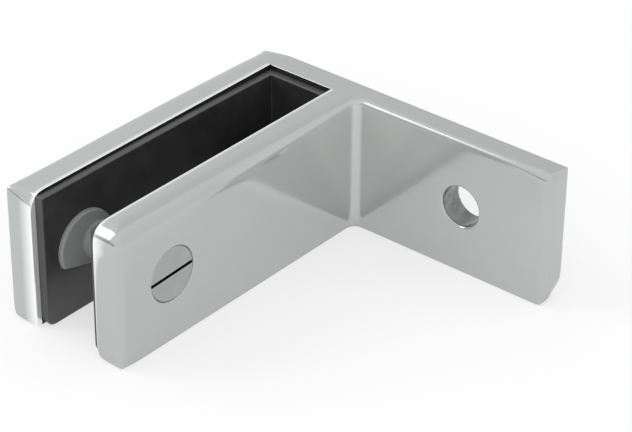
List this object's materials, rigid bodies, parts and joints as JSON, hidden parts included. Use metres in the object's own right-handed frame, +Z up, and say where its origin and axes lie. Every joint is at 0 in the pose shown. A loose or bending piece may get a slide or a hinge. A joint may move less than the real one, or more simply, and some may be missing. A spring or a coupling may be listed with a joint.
{
  "type": "glass stiffener bracket",
  "caption": "Cast channel bracket with a rubber-lined slot for a glass edge, a slotted clamp screw in a flanged bush, and a side flange with a hole for a wall screw.",
  "frame": {"origin": "centre of the wall-screw hole, on the back face that meets the wall", "axes": "+X along the wall from the channel towards the flange tip, +Y into the wall, +Z up"},
  "size_m": [0.0649, 0.063, 0.025],
  "materials": {
    "plated_metal": "smooth satin-bright plating on a casting",
    "liner_rubber": "moulded, dull black",
    "screw_metal": "turned and plated",
    "bush_nylon": "moulded grey nylon"
  },
  "bodies": {
    "root": {"bracket_body": "plated_metal", "channel_liner": "liner_rubber", "clamp_screw": "screw_metal", "screw_bush": "bush_nylon"}
  },
  "joints": []
}
